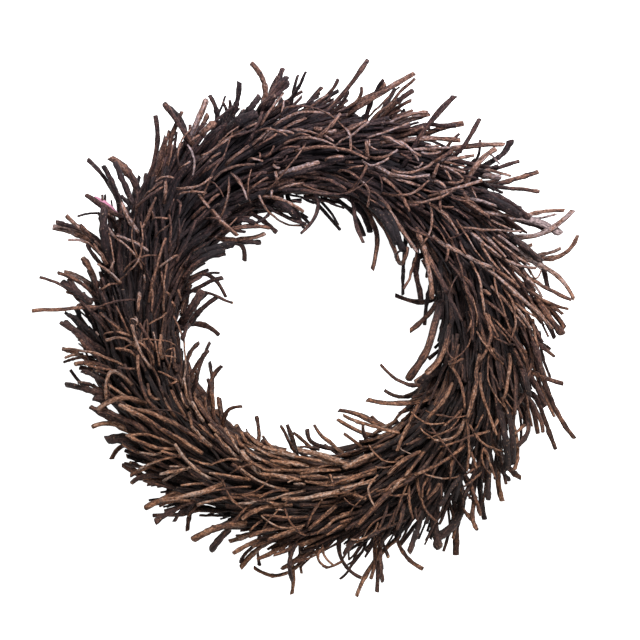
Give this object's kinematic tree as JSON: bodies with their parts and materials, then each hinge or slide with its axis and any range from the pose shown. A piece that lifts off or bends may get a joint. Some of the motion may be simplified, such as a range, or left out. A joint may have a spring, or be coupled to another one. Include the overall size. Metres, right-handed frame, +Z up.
{
  "type": "wreath",
  "caption": "Round wreath of dried twig bunches tied to a wire hoop, with every twig pointing clockwise and fanning out round an open middle.",
  "frame": {"origin": "centre of the wreath's bounding box, on the surface that it lies on", "axes": "+Z up out of the wreath's face, +Y towards 12 o'clock, +X towards 3 o'clock as the face is seen"},
  "size_m": [0.4491, 0.4422, 0.0813],
  "materials": {
    "twigs": "matte",
    "hoop_wire": "satin",
    "tie_wire": "satin"
  },
  "bodies": {
    "root": {"wire_hoop": "hoop_wire", "twig_bunch_01": "twigs", "wire_tie_01": "tie_wire", "twig_bunch_02": "twigs", "wire_tie_02": "tie_wire", "twig_bunch_03": "twigs", "wire_tie_03": "tie_wire", "twig_bunch_04": "twigs", "wire_tie_04": "tie_wire", "twig_bunch_05": "twigs", "wire_tie_05": "tie_wire", "twig_bunch_06": "twigs", "wire_tie_06": "tie_wire", "twig_bunch_07": "twigs", "wire_tie_07": "tie_wire", "twig_bunch_08": "twigs", "wire_tie_08": "tie_wire", "twig_bunch_09": "twigs", "wire_tie_09": "tie_wire", "twig_bunch_10": "twigs", "wire_tie_10": "tie_wire", "twig_bunch_11": "twigs", "wire_tie_11": "tie_wire", "twig_bunch_12": "twigs", "wire_tie_12": "tie_wire", "twig_bunch_13": "twigs", "wire_tie_13": "tie_wire", "twig_bunch_14": "twigs", "wire_tie_14": "tie_wire", "twig_bunch_15": "twigs", "wire_tie_15": "tie_wire"}
  },
  "joints": []
}
